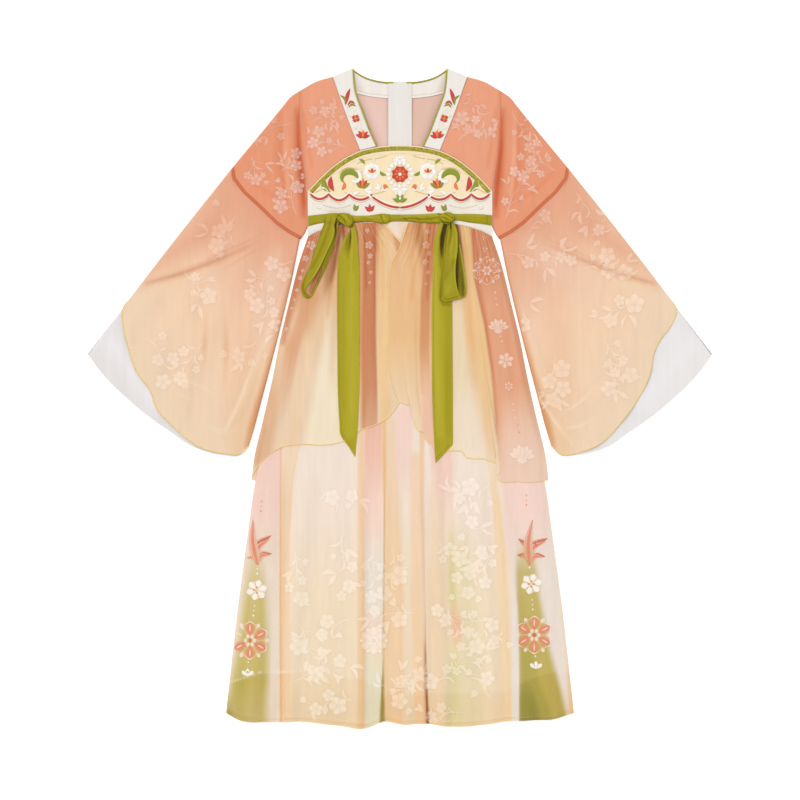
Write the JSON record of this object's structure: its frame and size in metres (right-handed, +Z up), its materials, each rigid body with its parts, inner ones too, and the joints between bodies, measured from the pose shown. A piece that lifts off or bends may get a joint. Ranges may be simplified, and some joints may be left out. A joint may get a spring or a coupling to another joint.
{
  "type": "hanfu dress",
  "caption": "Child's long hanfu dress laid flat, with wide chiffon sleeves, a high waist tied with green ribbon, an arched chest panel, a short overskirt and a long pleated skirt",
  "frame": {"origin": "on the surface that the dress lies on, under the middle of its outline", "axes": "+Y from hem to neck, +X to the right of someone who looks down on the front, +Z up from the surface"},
  "size_m": [1.03, 1.0883, 0.0193],
  "materials": {
    "coral_chiffon": "matte coral chiffon with a pale blossom print",
    "dyed_chiffon": "sheer chiffon dyed from coral to cream",
    "cream_chiffon": "sheer cream chiffon with a pale blossom print",
    "white_cotton": "plain matte white cloth",
    "blush_lining": "smooth blush lining",
    "green_satin": "olive green satin ribbon",
    "green_stitching": "satin stitch"
  },
  "bodies": {
    "root": {"bodice_back_left": "blush_lining", "bodice_back_right": "blush_lining", "back_neck_facing": "white_cotton", "zip_guard": "white_cotton", "collar_left": "white_cotton", "collar_right": "white_cotton", "collar_piping_left": "green_satin", "collar_piping_right": "green_satin", "back_neck_piping_left": "green_satin", "back_neck_piping_right": "green_satin", "front_left": "coral_chiffon", "front_right": "coral_chiffon", "chest_panel": "white_cotton", "chest_border": "green_stitching", "upper_sleeve_left": "coral_chiffon", "upper_sleeve_right": "coral_chiffon", "lower_sleeve_left": "dyed_chiffon", "lower_sleeve_right": "dyed_chiffon", "inner_sleeve_left": "white_cotton", "inner_sleeve_right": "white_cotton", "overskirt_back": "dyed_chiffon", "skirt_back": "cream_chiffon", "skirt_lining": "white_cotton", "skirt_front": "cream_chiffon", "overskirt_left": "dyed_chiffon", "overskirt_right": "dyed_chiffon", "tie_band": "green_satin", "tie_knot_left": "green_satin", "tie_knot_right": "green_satin", "tie_loop_left": "green_satin", "tie_loop_right": "green_satin", "tie_tail_left": "green_satin", "tie_tail_right": "green_satin"}
  },
  "joints": []
}
